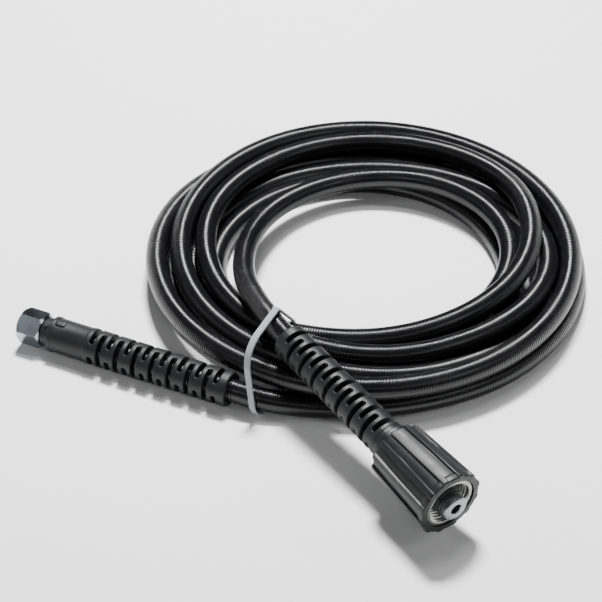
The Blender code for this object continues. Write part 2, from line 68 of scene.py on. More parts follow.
UV_NAME = "surface"

log = logging.getLogger("hose")


def linear(colour: str) -> tuple[float, float, float, float]:
    """Turn an sRGB hex colour into linear light.

    Args:
        colour: six hex digits after a hash sign.

    Returns:
        Red, green, blue and an alpha of one.
    """
    parts = [int(colour[i:i + 2], 16) / 255 for i in (1, 3, 5)]
    light = [part / 12.92 if part <= 0.04045 else ((part + 0.055) / 1.055) ** 2.4 for part in parts]
    return (*light, 1.0)


def add_node(material: bpy.types.Material, kind: str, settings: dict[str, object] | None = None,
             inputs: dict[str | int, object] | None = None) -> bpy.types.Node:
    """Add one shader node with its settings and links.

    Args:
        material: the material whose tree gets the node.
        kind: the node's class name without its ShaderNode start.
        settings: values for the node's own attributes.
        inputs: a value or another node's output for each named or numbered input.

    Returns:
        The new node.
    """
    node = material.node_tree.nodes.new("ShaderNode" + kind)
    for name, value in (settings or {}).items():
        setattr(node, name, value)
    for socket, value in (inputs or {}).items():
        if isinstance(value, bpy.types.NodeSocket):
            material.node_tree.links.new(value, node.inputs[socket])
        else:
            node.inputs[socket].default_value = value
    return node


class Pattern:
    """The nodes that colour and roughen one material."""

    def __init__(self, material: bpy.types.Material) -> None:
        """Start on a material, with its piece's UV map and the object's own coordinates."""
        self.material = material
        marks = add_node(material, "UVMap", {"uv_map": UV_NAME})
        parts = add_node(material, "SeparateXYZ", inputs={0: marks.outputs["UV"]})
        self.along = parts.outputs["X"]
        self.turn = parts.outputs["Y"]
        self.place = add_node(material, "TexCoord").outputs["Object"]

    def noise(self, size: float, detail: float, roughness: float = 0.5) -> bpy.types.NodeSocket:
        """Add cloudy noise in the object's own coordinates.

        Args:
            size: how large its patches are.
            detail: how many finer layers it has.
            roughness: how strong the finer layers are.

        Returns:
            Its value, about 0 to 1.
        """
        inputs = {"Vector": self.place, "Scale": 1 / size, "Detail": detail, "Roughness": roughness}
        return add_node(self.material, "TexNoise", inputs=inputs).outputs["Fac"]

    def maths(self, operation: str, *values: object) -> bpy.types.NodeSocket:
        """Add one sum.

        Args:
            operation: the Math node's name for it.
            values: its numbers or outputs, in order.

        Returns:
            Its result.
        """
        return add_node(self.material, "Math", {"operation": operation}, dict(enumerate(values))).outputs[0]

    def spread(self, value: bpy.types.NodeSocket, low: float, high: float) -> bpy.types.NodeSocket:
        """Spread the middle part of a noise over a range.

        Args:
            value: the noise, of which 0.3 to 0.7 is used.
            low: the result at the low end.
            high: the result at the high end.

        Returns:
            The spread value.
        """
        inputs = {"Value": value, "From Min": 0.3, "From Max": 0.7, "To Min": low, "To Max": high}
        return add_node(self.material, "MapRange", inputs=inputs).outputs["Result"]

    def bump(self, height: bpy.types.NodeSocket, distance: float,
             normal: bpy.types.NodeSocket | None = None) -> bpy.types.NodeSocket:
        """Add fine relief.

        Args:
            height: the relief's height as a share.
            distance: the height that a share of one stands for.
            normal: relief that this one comes on top of.

        Returns:
            The changed normal.
        """
        inputs = {"Height": height, "Distance": distance, "Strength": 1.0}
        if normal is not None:
            inputs["Normal"] = normal
        return add_node(self.material, "Bump", inputs=inputs).outputs["Normal"]

    def mixed(self, share: bpy.types.NodeSocket, first: str, second: str) -> bpy.types.NodeSocket:
        """Mix two colours.

        Args:
            share: the second colour's share.
            first: an sRGB hex colour.
            second: another.

        Returns:
            The mixed colour.
        """
        inputs = {"Factor": share, 6: linear(first), 7: linear(second)}
        return add_node(self.material, "Mix", {"data_type": "RGBA"}, inputs).outputs[2]


@dataclass(frozen=True)
class Finish:
    """What every finish has: a name, a base colour and the shader's typical values."""

    name: str
    colour: str
    roughness: float
    metallic: float = 0.0
    ior: float = 1.5

    def start(self) -> bpy.types.Material:
        """Make the material and set the values that are the same all over.

        Returns:
            A material whose only shader is the principled one.
        """
        material = bpy.data.materials.new(self.name)
        material.use_nodes = True
        shader = material.node_tree.nodes["Principled BSDF"]
        shader.inputs["Base Color"].default_value = linear(self.colour)
        shader.inputs["Roughness"].default_value = self.roughness
        shader.inputs["Metallic"].default_value = self.metallic
        shader.inputs["IOR"].default_value = self.ior
        return material

    def link(self, material: bpy.types.Material, **outputs: bpy.types.NodeSocket) -> None:
        """Lead outputs into the principled shader.

        Args:
            material: the material to link in.
            outputs: sockets by the shader input's name, with an underscore for a space.
        """
        shader = material.node_tree.nodes["Principled BSDF"]
        for name, output in outputs.items():
            material.node_tree.links.new(output, shader.inputs[name.replace("_", " ")])


@dataclass(frozen=True)
class WrapCuredRubber(Finish):
    """Nitrile rubber cover, cured under a wound tape.

    The tape leaves fine ridges across the hose, which break its long highlights into a grain, and handling
    leaves the gloss a little uneven. The ridges are drawn coarser than real ones, which would be too fine to
    show.
    """

    ridge_pitch: float = 1.5 * MM
    ridge_depth: float = 0.045 * MM
    ridge_share: float = 1.8
    patch_size: float = 16 * MM
    grain_size: float = 0.8 * MM
    worn_colour: str = "#121214"

    def make(self) -> bpy.types.Material:
        """Build the material.

        Returns:
            The rubber, patterned along the hose's own UV map.
        """
        material = self.start()
        pattern = Pattern(material)
        wander = pattern.noise(self.patch_size, 1.0)
        phase = pattern.maths("MULTIPLY_ADD", pattern.along, math.tau / self.ridge_pitch, wander)
        ridge = pattern.maths("SINE", phase)
        grain = pattern.noise(self.grain_size, 3.0, 0.6)
        height = pattern.maths("MULTIPLY_ADD", ridge, self.ridge_share, grain)
        patch = pattern.noise(self.patch_size, 4.0)
        self.link(material, Base_Color=pattern.mixed(grain, self.colour, self.worn_colour),
                  Roughness=pattern.spread(patch, self.roughness - 0.06, self.roughness + 0.07),
                  Normal=pattern.bump(height, self.ridge_depth))
        return material


@dataclass(frozen=True)
class MouldedNylon(Finish):
    """Black glass-filled nylon from a spark-eroded mould.

    The mould's fine grain gives a satin, slightly cloudy black, and its parting line is a hair-thin raised
    seam along both sides of the piece.
    """

    grain_size: float = 0.35 * MM
    grain_depth: float = 0.02 * MM
    patch_size: float = 7 * MM
    scuffed_colour: str = "#17181a"
    seam_turn: float = 0.31
    seam_width: float = 0.006
    seam_depth: float = 0.10 * MM

    def make(self) -> bpy.types.Material:
        """Build the material.

        Returns:
            The nylon, with its seam set by the turn in the piece's UV map.
        """
        material = self.start()
        pattern = Pattern(material)
        rough = pattern.bump(pattern.noise(self.grain_size, 3.0, 0.65), self.grain_depth)
        half_turn = pattern.maths("PINGPONG", pattern.turn, 0.5)
        distance = pattern.maths("ABSOLUTE", pattern.maths("SUBTRACT", half_turn, self.seam_turn))
        seam = add_node(material, "MapRange", {"interpolation_type": "SMOOTHSTEP"},
                        {"Value": distance, "From Min": 0.0, "From Max": self.seam_width,
                         "To Min": 1.0, "To Max": 0.0})
        patch = pattern.noise(self.patch_size, 5.0)
        self.link(material, Base_Color=pattern.mixed(patch, self.colour, self.scuffed_colour),
                  Roughness=pattern.spread(patch, self.roughness - 0.05, self.roughness + 0.06),
                  Normal=pattern.bump(seam.outputs["Result"], self.seam_depth, rough))
        return material


@dataclass(frozen=True)
class TurnedMetal(Finish):
    """Metal cut on a lathe, plain or plated.

    The tool leaves rings that stretch each highlight round the piece, and the plating or handling leaves
    cloudy patches of a second tone.
    """

    ring_pitch: float = 0.35 * MM
    ring_depth: float = 0.002 * MM
    patch_size: float = 9 * MM
    second_colour: str = "#808890"
    patch_share: float = 0.5

    def make(self) -> bpy.types.Material:
        """Build the material.

        Returns:
            The metal, with rings along the outline distance in its UV map. The rings are drawn coarser than
            a real feed of about 0.1 mm, because that would be too fine to show.
        """
        material = self.start()
        pattern = Pattern(material)
        rings = add_node(material, "TexNoise", {"noise_dimensions": "1D"},
                         {"W": pattern.along, "Scale": 1 / self.ring_pitch, "Detail": 2.0})
        patch = pattern.noise(self.patch_size, 4.0)
        share = pattern.maths("MULTIPLY", patch, self.patch_share * 2)
        self.link(material, Base_Color=pattern.mixed(share, self.colour, self.second_colour),
                  Roughness=pattern.spread(patch, self.roughness - 0.05, self.roughness + 0.07),
                  Normal=pattern.bump(rings.outputs["Fac"], self.ring_depth))
        return material


@dataclass(frozen=True)
class RibbedStrap(Finish):
    """Flexible grey PVC, extruded as a flat strap with fine ribs along it.

    The ribs draw thin lines along the strap, and the soft plastic is a little milky, with handling marks.
    """

    ribs: float = 5.0
    rib_depth: float = 0.05 * MM
    patch_size: float = 5 * MM
    second_colour: str = "#8c8d91"

    def make(self) -> bpy.types.Material:
        """Build the material.

        Returns:
            The strap plastic, with ribs across the turn in its UV map.
        """
        material = self.start()
        pattern = Pattern(material)
        rib = pattern.maths("SINE", pattern.maths("MULTIPLY", pattern.turn, math.tau * self.ribs * 2))
        patch = pattern.noise(self.patch_size, 4.0)
        self.link(material, Base_Color=pattern.mixed(patch, self.colour, self.second_colour),
                  Normal=pattern.bump(rib, self.rib_depth))
        return material


class Metal(Enum):
    """The turned metals of the two end fittings."""

    ZINC_PLATED_STEEL = TurnedMetal("steel_turned_zinc_plated", "#9fa8b0", 0.20, 1.0, second_colour="#626c76",
                                    patch_share=0.45)
    BRIGHT_STEEL = TurnedMetal("steel_turned_bright", "#8f9294", 0.34, 1.0, second_colour="#75797c",
                               patch_share=0.4)
    NICKEL_PLATED_BRASS = TurnedMetal("brass_turned_nickel_plated", "#a9aaa7", 0.26, 1.0,
                                      second_colour="#5f625e", patch_share=0.5)


HOSE_COVER = WrapCuredRubber("nitrile_rubber_wrap_cured", "#08080a", 0.23, ior=1.39)
RESTRICTOR_PLASTIC = MouldedNylon("nylon_moulded_satin", "#0c0d0f", 0.50, ior=1.40)
WHEEL_PLASTIC = MouldedNylon("nylon_moulded_grip", "#0b0c0e", 0.46, ior=1.42, seam_depth=0.0)
STRAP_PLASTIC = RibbedStrap("pvc_extruded_grey", "#a6a7ab", 0.42, ior=1.53)
SEAL_RUBBER = MouldedNylon("nitrile_rubber_moulded", "#0c0c0c", 0.48, ior=1.52, grain_size=0.2 * MM,
                           scuffed_colour="#161616", seam_depth=0.0)


def spline(knots: Array, values: Array, wanted: Array) -> Array:
    """Carry a natural cubic spline through values.

    The second derivatives at the knots solve the spline's three-term equations, with none at the two ends,
    and each piece is the cubic that has those derivatives and values at its ends.

    Args:
        knots: rising places of the values.
        values: one row a knot.
        wanted: places to read.

    Returns:
        One row for each wanted place.
    """
    step = np.diff(knots)
    rows = np.arange(1, len(knots) - 1)
    matrix = np.eye(len(knots))
    matrix[rows, rows - 1] = step[:-1]
    matrix[rows, rows] = 2 * (step[:-1] + step[1:])
    matrix[rows, rows + 1] = step[1:]
    target = np.zeros(values.shape)
    target[rows] = 6 * np.diff(np.diff(values, axis=0) / step[:, None], axis=0)
    second = np.linalg.solve(matrix, target)
    piece = np.clip(np.searchsorted(knots, wanted, side="right") - 1, 0, len(step) - 1)
    width = step[piece][:, None]
    ahead = (knots[piece + 1] - wanted)[:, None]
    behind = (wanted - knots[piece])[:, None]
    return ((second[piece] * ahead**3 + second[piece + 1] * behind**3) / (6 * width)
            + (values[piece] / width - second[piece] * width / 6) * ahead
            + (values[piece + 1] / width - second[piece + 1] * width / 6) * behind)


def distances(points: Array) -> Array:
    """Add up the steps along a row of points.

    Args:
        points: a row of points.

    Returns:
        The distance of each point from the first one along the row.
    """
    steps = np.linalg.norm(np.diff(points, axis=0), axis=1)
    return np.concatenate(([0.0], np.cumsum(steps)))


def headings(points: Array) -> Array:
    """Find the direction of a row of points at each of them.

    Args:
        points: the row.

    Returns:
        A unit direction for each point.
    """
    change = np.gradient(points, axis=0)
    return change / np.linalg.norm(change, axis=1, keepdims=True)


def evenly(points: Array, spacing: float) -> Array:
    """Read a dense row of points again at even distances.

    Args:
        points: the dense row.
        spacing: the wanted distance, which is fitted to the length.

    Returns:
        The even row, both ends kept.
    """
    along = distances(points)
    wanted = np.linspace(0.0, along[-1], round(along[-1] / spacing) + 1)
    return np.stack([np.interp(wanted, along, points[:, i]) for i in range(points.shape[1])], axis=1)


def softened(corners: Array, cut: float | Iterable[float], steps: int = 4) -> Array:
    """Round the inner corners of an open outline.

    Each corner B gives way to the quadratic arc (1-t)^2 A + 2t(1-t) B + t^2 C, where A and C lie on its two
    edges at the cut's distance from it, or at 45% of the edge where that is less.

    Args:
        corners: the outline's corners, a station and a radius each.
        cut: one distance, or one for each inner corner.
        steps: points less one in each arc.

    Returns:
        The rounded outline.
    """
    corners = np.asarray(corners, float)
    inner = corners[1:-1]
    cuts = np.broadcast_to(np.asarray(cut, float), len(inner))[:, None]
    ends = []
    for other in (corners[:-2], corners[2:]):
        edge = other - inner
        length = np.linalg.norm(edge, axis=1, keepdims=True)
        ends.append(inner + edge / length * np.minimum(cuts, 0.45 * length))
    share = np.linspace(0.0, 1.0, steps + 1)[None, :, None]
    arcs = ((1 - share)**2 * ends[0][:, None] + 2 * share * (1 - share) * inner[:, None]
            + share**2 * ends[1][:, None])
    return np.concatenate((corners[:1], arcs.reshape(-1, 2), corners[-1:]))


@dataclass(frozen=True)
class Axis:
    """The line that an end assembly lies along, from its hose rim towards its open end."""

    origin: tuple[float, float, float]
    azimuth: float
    dip: float = 0.0

    @property
    def along(self) -> Array:
        """The unit direction of the line."""
        return np.array((math.cos(self.azimuth) * math.cos(self.dip),
                         math.sin(self.azimuth) * math.cos(self.dip), -math.sin(self.dip)))

    @property
    def side(self) -> Array:
        """The level unit direction across the line, where a turn of zero points."""
        return np.array((-math.sin(self.azimuth), math.cos(self.azimuth), 0.0))

    @property
    def up(self) -> Array:
        """The unit direction that a quarter turn points to."""
        return np.cross(self.along, self.side)

    def place(self, station: Array, radius: Array, turn: Array) -> Array:
        """Find points round the line: origin + station along it + radius times (cos turn, sin turn) across.

        Args:
            station: distances from the hose rim.
            radius: distances from the line.
            turn: angles round the line.

        Returns:
            The points, in an array one dimension deeper.
        """
        station, radius, turn = np.broadcast_arrays(station, radius, turn)
        return (np.asarray(self.origin) + station[..., None] * self.along
                + (radius * np.cos(turn))[..., None] * self.side
                + (radius * np.sin(turn))[..., None] * self.up)


class Shell:
    """A closed piece, gathered from grids of points whose edges meet."""

    def __init__(self, name: str) -> None:
        """Start an empty piece under its object's name."""
        self.name = name
        self.points: list[Array] = []
        self.marks: list[Array] = []
        self.quads: list[Array] = []
        self.count = 0

    def add(self, points: Array, marks: Array) -> None:
        """Join the neighbours of one or more grids with four-sided faces.

        Args:
            points: grids of points, shaped (..., rows, columns, 3).
            marks: their UV coordinates, shaped (..., rows, columns, 2) or fit to be spread to that.
        """
        shape = points.shape[:-1]
        index = np.arange(math.prod(shape)).reshape(-1, *shape[-2:]) + self.count
        corners = (index[:, :-1, :-1], index[:, 1:, :-1], index[:, 1:, 1:], index[:, :-1, 1:])
        self.quads.append(np.stack(corners, axis=-1).reshape(-1, 4))
        self.points.append(points.reshape(-1, 3))
        self.marks.append(np.broadcast_to(marks, (*shape, 2)).reshape(-1, 2))
        self.count += math.prod(shape)

    def turned(self, axis: Axis, outline: Array, columns: int, start: float = 0.0) -> None:
        """Add an outline carried round a line: every outline point becomes a ring.

        Args:
            axis: the line.
            outline: stations and radii.
            columns: faces round the line.
            start: the turn of the first column, so that the rings meet another grid's columns.
        """
        turn = start + np.linspace(0.0, math.tau, columns + 1)
        points = axis.place(outline[:, :1], outline[:, 1:], turn[None, :])
        marks = np.stack(np.broadcast_arrays(distances(outline)[:, None], turn[None, :] / math.tau), axis=-1)
        self.add(points, marks)

    def thread(self, axis: Axis, span: tuple[float, float], base: float, depth: float, pitch: float,
               columns: int, flare: tuple[float, float] = (0.0, 1.0), start: float = 0.0) -> None:
        """Add a screw thread whose rows follow its helix.

        A row at a turn lies at its own start plus pitch times the turn's share of a full turn, held between
        the span's ends. Its radius is base + depth times its flank's share, which is 0 on the crest flat and
        1 on the root flat, and fades to 0 over three quarters of a pitch at both ends.

        Args:
            axis: the thread's line.
            span: stations where the thread starts and ends.
            base: radius of the plain ends and of the crests.
            depth: how much further out the roots are; negative for a thread on a shaft.
            pitch: distance from one turn to the next.
            columns: faces round the line.
            flare: how much wider the far end is, and over what length it widens evenly.
            start: the turn of the first column.
        """
        back, end = span
        phases = np.array((0.0, 0.125, 0.5, 0.625))
        flanks = np.array((0.0, 0.0, 1.0, 1.0))
        turns = math.ceil((end - back) / pitch) + 2
        rows = (back + pitch * (np.arange(turns)[:, None] - 1 + phases)).ravel()[:, None]
        turn = np.linspace(0.0, math.tau, columns + 1)[None, :]
        station = np.clip(rows + pitch * turn / math.tau, back, end)
        fade = np.clip(np.minimum(station - back, end - station) / (0.75 * pitch), 0.0, 1.0)
        wider = flare[0] * np.clip((station - end) / flare[1] + 1.0, 0.0, 1.0)
        radius = base + wider + depth * np.tile(flanks, turns)[:, None] * fade
        marks = np.stack(np.broadcast_arrays(rows, turn / math.tau), axis=-1)
        self.add(axis.place(station, radius, turn + start), marks)

    def block(self, axis: Axis, centre: tuple[float, float, float], half: tuple[float, float, float],
              power: float = 0.4) -> None:
        """Add a rounded block that follows a round wall.

        It is a superellipsoid: the cosines and sines of an ellipsoid's two angles are raised to a power below
        one, sign kept, which squares it off. Its width is bent round the line.

        Args:
            axis: the line of the round wall.
            centre: its station, radius and turn.
            half: half its length, height and width.
            power: the power; lower is squarer.
        """
        def shaped(value: Array) -> Array:
            """Raise to the power, sign kept."""
            return np.sign(value) * np.abs(value)**power

        rise = np.linspace(-math.pi / 2, math.pi / 2, 17)[:, None]
        round_turn = np.linspace(0.0, math.tau, 33)[None, :]
        flat = shaped(np.where(np.abs(np.cos(rise)) < 1e-9, 0.0, np.cos(rise)))
        closed = np.where(np.arange(33) == 32, 0.0, round_turn)
        station = centre[0] + half[0] * flat * shaped(np.round(np.cos(closed), 12))
        width = half[2] * flat * shaped(np.round(np.sin(closed), 12))
        radius = centre[1] + half[1] * shaped(np.sin(rise))
        points = axis.place(station, radius, centre[2] + width / centre[1])
        self.add(points, np.array((0.0, 0.5)))

    def finish(self, material: bpy.types.Material, sharp: float = 35.0) -> bpy.types.Object:
        """Weld the grids into one mesh and link its object.

        Args:
            material: the piece's material.
            sharp: edges over this many degrees stay sharp.

        Returns:
            The object, at the origin.
        """
        mesh = bpy.data.meshes.new(self.name)
        mesh.from_pydata(np.concatenate(self.points), [], np.concatenate(self.quads))
        corner_points = np.empty(len(mesh.loops), np.int32)
        mesh.loops.foreach_get("vertex_index", corner_points)
        marks = np.concatenate(self.marks)[corner_points]
        mesh.uv_layers.new(name=UV_NAME).data.foreach_set("uv", marks.astype(np.float32).ravel())
        bm = bmesh.new()
        bm.from_mesh(mesh)
        bmesh.ops.remove_doubles(bm, verts=bm.verts, dist=WELD)
        bmesh.ops.recalc_face_normals(bm, faces=bm.faces)
        unclosed = sum(not edge.is_manifold for edge in bm.edges)
        bm.to_mesh(mesh)
        bm.free()
        mesh.shade_smooth()
        mesh.set_sharp_from_angle(angle=math.radians(sharp))
        mesh.materials.append(material)
        piece = bpy.data.objects.new(self.name, mesh)
        bpy.context.collection.objects.link(piece)
        log.info("%s: %d faces, %d unclosed edges", self.name, len(mesh.polygons), unclosed)
        return piece


def settle(piece: bpy.types.Object, nodes: Iterable[str], body: str = "root") -> bpy.types.Object:
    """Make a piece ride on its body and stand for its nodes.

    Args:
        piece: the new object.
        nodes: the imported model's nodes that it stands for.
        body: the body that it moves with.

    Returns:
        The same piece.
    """
    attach(piece, body)
    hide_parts(*nodes)
    return piece


COIL_CENTRE = np.array((35.099, 48.201, 0.0)) * MM
HEX_AXIS = Axis((-39.875 * MM, -60.562 * MM, 10.2 * MM), math.radians(154.4))
COUPLING_AXIS = Axis((-9.151 * MM, -51.468 * MM, 36.937 * MM), math.radians(-54.7), math.radians(5.0))


@dataclass
class Studio:
    """The pale floor, the soft lights and the camera at the photograph's angle."""

    target: tuple[float, float, float] = (-0.0029, 0.0292, 0.0)
    distance: float = 1.10
    elevation: float = 38.0
    lens: float = 115.1
    floor_size: float = 6.0
    floor_colour: str = "#fdfdfd"
    surround_colour: str = "#e8ebee"
    surround_strength: float = 0.06

    def build(self) -> None:
        """Set up the camera, the floor, the lights and the dim surround."""
        self.camera()
        self.floor()
        self.light("key_softbox", (0.0, 0.55, 1.25), (0.32, 0.20), 54.0)
        self.light("top_strip", (0.10, 0.15, 1.25), (0.35, 0.08), 3.0)
        self.light("left_softbox", (-1.25, -0.25, 0.75), (0.5, 0.5), 2.2)
        self.light("right_softbox", (1.25, -0.10, 0.70), (0.5, 0.5), 2.6)
        self.light("front_fill", (0.15, -1.35, 1.10), (0.8, 0.4), 3.5)
        world = bpy.data.worlds.new("dim_surround")
        world.use_nodes = True
        surround = world.node_tree.nodes["Background"]
        surround.inputs["Color"].default_value = linear(self.surround_colour)
        surround.inputs["Strength"].default_value = self.surround_strength
        bpy.context.scene.world = world

    def camera(self) -> None:
        """Look at the target from in front, at the elevation, with the level kept."""
        angle = math.radians(self.elevation)
        data = bpy.data.cameras.new("camera")
        data.lens = self.lens
        data.sensor_width = 36.0
        camera = bpy.data.objects.new("camera", data)
        camera.location = np.array(self.target) + self.distance * np.array((0, -math.cos(angle),
                                                                            math.sin(angle)))
        camera.rotation_euler = (math.pi / 2 - angle, 0.0, 0.0)
        bpy.context.collection.objects.link(camera)
        bpy.context.scene.camera = camera

    def floor(self) -> None:
        """Lay a flat sheet on the floor level, of matt white paper."""
        half = self.floor_size / 2
        mesh = bpy.data.meshes.new("floor")
        corners = ((-half, -half, 0), (half, -half, 0), (half, half, 0), (-half, half, 0))
        mesh.from_pydata(corners, [], [(0, 1, 2, 3)])
        floor = bpy.data.objects.new("floor", mesh)
        mesh.materials.append(Finish("paper_matt_white", self.floor_colour, 0.9).start())
        bpy.context.collection.objects.link(floor)

    def light(self, name: str, place: tuple[float, float, float], size: tuple[float, float],
              power: float) -> None:
        """Hang a soft rectangular light that faces the coil.

        Args:
            name: the light's name.
            place: where it hangs.
            size: its width and height.
            power: its power in watts.
        """
        data = bpy.data.lights.new(name, "AREA")
        data.shape = "RECTANGLE"
        data.size, data.size_y = size
        data.energy = power
        lamp = bpy.data.objects.new(name, data)
        lamp.location = place
        away = np.array(place) - np.array(self.target)
        flat = math.hypot(away[0], away[1])
        lamp.rotation_euler = (math.atan2(flat, away[2]), 0.0, math.atan2(away[1], away[0]) + math.pi / 2)
        bpy.context.collection.objects.link(lamp)


@dataclass
class Hose:
    """The hose: out of the hex end's restrictor, seven turns round the coil, and into the coupling's.

    A pass is one turn. Its four seats are a distance from the coil's centre and a height, in millimetres, in
    front, at the right, behind and at the left.
    """

    diameter: float = 12.5 * MM
    clearance: float = 0.1 * MM
    spacing: float = 5.0 * MM
    ring_step: float = 2.2 * MM
    sides: int = 28
    hex_stem: float = 87.5 * MM
    nipple_stem: float = 80.2 * MM
    lead: float = 3.0 * MM
    strap_angle: float = math.radians(240)
    strap_lift: float = 1.45 * MM
    strap_top: float = 40 * MM
    strap_lean: float = 0.17
    strap_crest: float = 102 * MM
    strap_slew: float = 0.38
    strap_hump: float = 18 * MM
    floor_gap: float = 0.05 * MM
    wall_radius: float = 10.25 * MM
    hex_wall: float = 110 * MM
    coupling_wall: float = 95 * MM
    wall_start: float = 60 * MM
    rounds: int = 260
    near_share: float = 2.6
    neighbours: int = 5
    level_share: float = 0.55
    push_share: float = 0.45
    wall_share: float = 0.5
    smoothing: float = 0.35
    passes: tuple = (((117.0, 6.4), (119.2, 6.4), (129.5, 6.4), (120.3, 16.5)),
                     ((118.0, 18.9), (116.5, 19.0), (129.5, 18.9), (106.8, 19.0)),
                     ((106.0, 15.5), (106.6, 6.4), (116.9, 6.4), (112.9, 6.4)),
                     ((95.5, 6.4), (81.1, 6.4), (91.7, 6.4), (88.0, 6.4)),
                     ((79.5, 18.9), (93.2, 25.9), (117.0, 18.9), (92.0, 19.0)),
                     ((92.1, 18.9), (104.0, 18.5), (104.3, 6.4), (100.5, 6.4)),
                     ((82.9, 6.4), (83.3, 18.9), (82.0, 14.5), (69.7, 22.2)))
    hex_route: tuple = ((241.3, 129.5, 9.0), (246.9, 126.1, 7.6), (253.4, 122.5, 6.6))
    coupling_route: tuple = ((210.75, 79.0, 28.5), (226.3, 88.7, 33.6), (237.0, 99.0, 36.9))
    path: Array = field(init=False)

    def __post_init__(self) -> None:
        """Lay the hose, push its turns clear and keep the line of its middle."""
        self.path = self.relaxed(self.laid())

    @staticmethod
    def polar(point: Array, turns: float) -> tuple[float, float, float]:
        """Give a point as an angle in degrees, a distance from the coil's centre and a height, both in mm.

        Args:
            point: the point.
            turns: whole turns that the angle has behind it.

        Returns:
            The angle, distance and height.
        """
        off = (point - COIL_CENTRE) / MM
        angle = math.degrees(math.atan2(off[1], off[0])) % 360 + 360 * turns
        return angle, math.hypot(off[0], off[1]), off[2]

    def laid(self) -> Array:
        """Carry a spline of distance and height over the angle through all the seats.

        Returns:
            A dense row of points from the hex end's stem to the coupling's, straight inside both
            restrictors.
        """
        start = [HEX_AXIS.place(s, 0.0, 0.0) for s in (0.0, -self.lead)]
        end = [COUPLING_AXIS.place(s, 0.0, 0.0) for s in (-self.lead, 0.0)]
        turns = len(self.passes)
        nodes = [self.polar(point, 0) for point in start] + list(self.hex_route)
        nodes += [(270.0 + 90.0 * (4 * number + quarter), *seat)
                  for number, seats in enumerate(self.passes) for quarter, seat in enumerate(seats)]
        nodes += [(angle + 360 * turns, *seat) for angle, *seat in self.coupling_route]
        nodes += [self.polar(point, turns) for point in end]
        table = np.array(nodes)
        angle = np.linspace(table[0, 0], table[-1, 0], 12000)
        seat = spline(table[:, 0], table[:, 1:], angle) * MM
        turn = np.radians(angle)
        coil = np.stack((COIL_CENTRE[0] + seat[:, 0] * np.cos(turn),
                         COIL_CENTRE[1] + seat[:, 0] * np.sin(turn), seat[:, 1]), axis=1)
        inside = HEX_AXIS.place(np.linspace(self.hex_stem, 0.0, 80, endpoint=False), 0.0, 0.0)
        beyond = COUPLING_AXIS.place(np.linspace(self.nipple_stem, 0.0, 80, endpoint=False)[::-1], 0.0, 0.0)
        return evenly(np.concatenate((inside, coil, beyond)), self.spacing)

    def relaxed(self, target: Array) -> Array:
        """Push the turns clear of each other, the floor and the restrictors.

        Each round moves a point away from every other part of the hose that is nearer than a diameter,
        measured across the point's own direction, then up to the floor and away from the restrictors' walls.
        The moves are smoothed along the hose, so that no point moves alone.

        Args:
            target: the laid row of points.

        Returns:
            The settled row, smooth and even, at the tube's ring step.
        """
        count = len(target)
        along = distances(target)
        free = (along > self.hex_stem) & (along < along[-1] - self.nipple_stem)
        gap = np.linalg.norm(target[:, None] - target[None], axis=2)
        number = np.arange(count)
        near = ((gap < self.near_share * self.diameter)
                & (np.abs(number[:, None] - number[None]) > self.neighbours))
        one, other = np.nonzero(near)
        reach = self.diameter + self.clearance
        walls = ((HEX_AXIS, self.hex_wall, along > self.hex_stem + self.wall_start),
                 (COUPLING_AXIS, self.coupling_wall,
                  along < along[-1] - self.nipple_stem - self.wall_start))
        moved = np.zeros_like(target)
        for _ in range(self.rounds):
            points = target + moved
            ahead, across = self.apart(points, one, other)
            room = np.maximum(np.linalg.norm(across, axis=1), 1e-6)
            tight = (np.abs(ahead) < self.level_share * self.spacing) & (room < reach)
            push = -across[tight] * ((reach - room[tight]) / room[tight] * self.push_share)[:, None]
            np.add.at(moved, one[tight], push)
            for axis, length, outside in walls:
                from_rim = target + moved - np.array(axis.origin)
                station = np.clip(from_rim @ axis.along, 0.0, length)
                away = from_rim - station[:, None] * axis.along
                room = np.maximum(np.linalg.norm(away, axis=1), 1e-6)
                lack = np.maximum(self.wall_radius + self.diameter / 2 + self.clearance - room, 0.0) * outside
                moved += self.wall_share * away * (lack / room)[:, None]
            middle = 0.5 * (moved[:-2] + moved[2:])
            moved[1:-1] += self.smoothing * (middle - moved[1:-1])
            moved *= free[:, None]
            moved[:, 2] += np.maximum(self.floor_under(target + moved) - (target + moved)[:, 2], 0.0) * free
        points = target + moved
        steps = distances(points)
        wanted = np.linspace(0.0, steps[-1], round(steps[-1] / self.ring_step) + 1)
        log.info("hose: closest turns %.2f mm apart", self.closest(points, one, other) / MM)
        return spline(steps, points, wanted)

    @staticmethod
    def apart(points: Array, one: Array, other: Array) -> tuple[Array, Array]:
        """Measure the way between pairs of points, along and across the hose at the first of each pair.

        Args:
            points: the hose's points.
            one: numbers of the first points.
            other: numbers of the second points.

        Returns:
            How far ahead each second point is, and the vector that leads across to it.
        """
        heading = headings(points)[one]
        off = points[other] - points[one]
        ahead = np.sum(off * heading, axis=1)
        return ahead, off - ahead[:, None] * heading

    def closest(self, points: Array, one: Array, other: Array) -> float:
        """Find the least distance between the middles of neighbouring turns.

        Args:
            points: the settled points.
            one: numbers of points.
            other: numbers of the points near them.

        Returns:
            The least distance, measured across the hose.
        """
        ahead, across = self.apart(points, one, other)
        room = np.linalg.norm(across, axis=1)
        return float(room[np.abs(ahead) < self.level_share * self.spacing].min())

